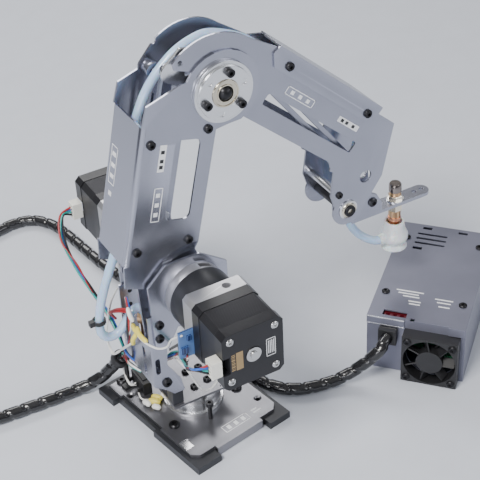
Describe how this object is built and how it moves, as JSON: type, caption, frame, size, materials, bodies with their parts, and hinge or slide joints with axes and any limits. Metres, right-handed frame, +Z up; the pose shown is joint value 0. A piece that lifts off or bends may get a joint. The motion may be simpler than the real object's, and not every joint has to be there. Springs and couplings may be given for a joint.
{
  "type": "desktop robot arm",
  "caption": "Palletising desktop robot arm in folded sheet aluminium with geared stepper motors, a levelled suction wrist, and a wired control box on a harness",
  "frame": {"origin": "on the table under the turning axis of the base", "axes": "+X is the way the arm reaches at rest, +Y is the far side, +Z is up"},
  "size_m": [0.4545, 0.3834, 0.2916],
  "materials": {
    "black_frame": "black anodised plate",
    "grey_plate": "brushed dark aluminium plate",
    "lilac_plate": "cool grey anodised sheet aluminium",
    "bright_metal": "machined aluminium",
    "steel": "brushed steel",
    "black_screw": "black oxide steel screws",
    "bright_screw": "plated steel screws",
    "motor_black": "semi-gloss black paint",
    "laminations": "dark steel laminations",
    "brass": "brass fittings",
    "black_plastic": "moulded black plastic",
    "white_plastic": "white connector plastic",
    "red_plastic": "dark red connector plastic",
    "green_board": "printed circuit board",
    "blue_board": "blue printed circuit board",
    "air_tube": "clear silicone tube",
    "cup_silicone": "white silicone",
    "harness_wrap": "black spiral wrap over wires"
  },
  "bodies": {
    "root": {"base_frame": "black_frame", "base_plate": "grey_plate", "base_screws": "black_screw", "bearing_housing": "bright_metal", "limit_switch": "black_plastic", "harness_clamp": "black_plastic", "harness": "harness_wrap", "box_tray": "lilac_plate", "box_lid": "lilac_plate", "driver_board": "green_board", "power_socket": "red_plastic", "cable_gland": "black_plastic", "fan_frame": "black_plastic", "box_screws": "black_screw"},
    "fan": {"fan_rotor": "black_plastic"},
    "turret": {"turntable_hub": "bright_metal", "turret_plate": "lilac_plate", "column_block": "black_plastic", "turret_column": "lilac_plate", "turret_screws": "black_screw", "near_side_plate": "lilac_plate", "far_side_plate": "lilac_plate", "near_gearbox": "bright_metal", "far_gearbox": "bright_metal", "gear_rings": "black_frame", "near_motor": "laminations", "far_motor": "laminations", "motor_caps": "motor_black", "motor_screws": "bright_screw", "motor_plugs": "white_plastic", "sensor_board": "blue_board", "level_anchor": "lilac_plate", "tube_fitting": "brass", "air_tube_base": "air_tube", "tube_tie": "black_plastic"},
    "upper_arm": {"upper_shell": "lilac_plate", "arm_screws": "black_screw", "arm_posts": "bright_metal", "shoulder_hub": "bright_metal", "shoulder_bearing": "steel", "elbow_flanges": "bright_metal", "elbow_bearings": "steel", "elbow_axle": "black_screw", "air_tube_upper": "air_tube"},
    "crank": {"crank": "steel"},
    "crank_pin": {"crank_bush": "brass"},
    "drive_rod": {"drive_rod": "lilac_plate"},
    "level_rod": {"level_rod": "lilac_plate"},
    "triangle": {"triangle_plate": "bright_metal"},
    "wrist_rod": {"wrist_rod": "lilac_plate"},
    "forearm": {"forearm_plates": "lilac_plate", "forearm_cover": "lilac_plate", "forearm_screws": "black_screw", "forearm_spacers": "bright_metal", "wrist_axle": "black_screw", "air_tube_fore": "air_tube"},
    "effector": {"effector_bracket": "lilac_plate", "suction_fitting": "brass", "suction_cup": "cup_silicone", "air_tube_wrist": "air_tube"}
  },
  "joints": [
    {"name": "base_yaw", "type": "hinge", "parent": "root", "child": "turret", "pos_m": [0, 0, 0.0207], "axis": [0, 0, 1], "range_deg": [-90, 90]},
    {"name": "shoulder", "type": "hinge", "parent": "turret", "child": "upper_arm", "pos_m": [-0.004, 0, 0.1207], "axis": [0, 1, 0], "range_deg": [-15, 20], "deforming": ["air_tube_base"]},
    {"name": "elbow_level", "type": "hinge", "parent": "upper_arm", "child": "triangle", "pos_m": [0.02714, 0, 0.25452], "axis": [0, 1, 0], "range_deg": [-20, 15], "deforming": ["air_tube_upper"]},
    {"name": "forearm_lift", "type": "hinge", "parent": "triangle", "child": "forearm", "pos_m": [0.02714, 0, 0.25452], "axis": [0, 1, 0], "range_deg": [-50, 12], "deforming": ["air_tube_fore"]},
    {"name": "wrist_level", "type": "hinge", "parent": "forearm", "child": "effector", "pos_m": [0.11856, 0, 0.13337], "axis": [0, 1, 0], "range_deg": [-12, 50], "deforming": ["air_tube_wrist"]},
    {"name": "crank_turn", "type": "hinge", "parent": "turret", "child": "crank", "pos_m": [-0.004, 0, 0.1207], "axis": [0, 1, 0], "range_deg": [-50, 12]},
    {"name": "crank_bush_level", "type": "hinge", "parent": "crank", "child": "crank_pin", "pos_m": [-0.034, 0, 0.1307], "axis": [0, 1, 0], "range_deg": [-12, 50]},
    {"name": "drive_rod_lean", "type": "hinge", "parent": "crank_pin", "child": "drive_rod", "pos_m": [-0.034, 0, 0.1307], "axis": [0, 1, 0], "range_deg": [-15, 20]},
    {"name": "level_rod_lean", "type": "hinge", "parent": "turret", "child": "level_rod", "pos_m": [-0.033, 0, 0.1377], "axis": [0, 1, 0], "range_deg": [-15, 20]},
    {"name": "wrist_rod_swing", "type": "hinge", "parent": "triangle", "child": "wrist_rod", "pos_m": [0.04074, 0, 0.27612], "axis": [0, 1, 0], "range_deg": [-50, 12]},
    {"name": "fan_spin", "type": "hinge", "parent": "root", "child": "fan", "pos_m": [0.15358, -0.07042, 0.0205], "axis": [-0.7507, -0.6607, 0], "continuous": true}
  ],
  "couplings": [
    {"joint": "elbow_level", "follows": "shoulder", "ratio": -1},
    {"joint": "level_rod_lean", "follows": "shoulder", "ratio": 1},
    {"joint": "drive_rod_lean", "follows": "shoulder", "ratio": 1},
    {"joint": "wrist_level", "follows": "forearm_lift", "ratio": -1},
    {"joint": "crank_turn", "follows": "forearm_lift", "ratio": 1},
    {"joint": "crank_bush_level", "follows": "forearm_lift", "ratio": -1},
    {"joint": "wrist_rod_swing", "follows": "forearm_lift", "ratio": 1}
  ]
}
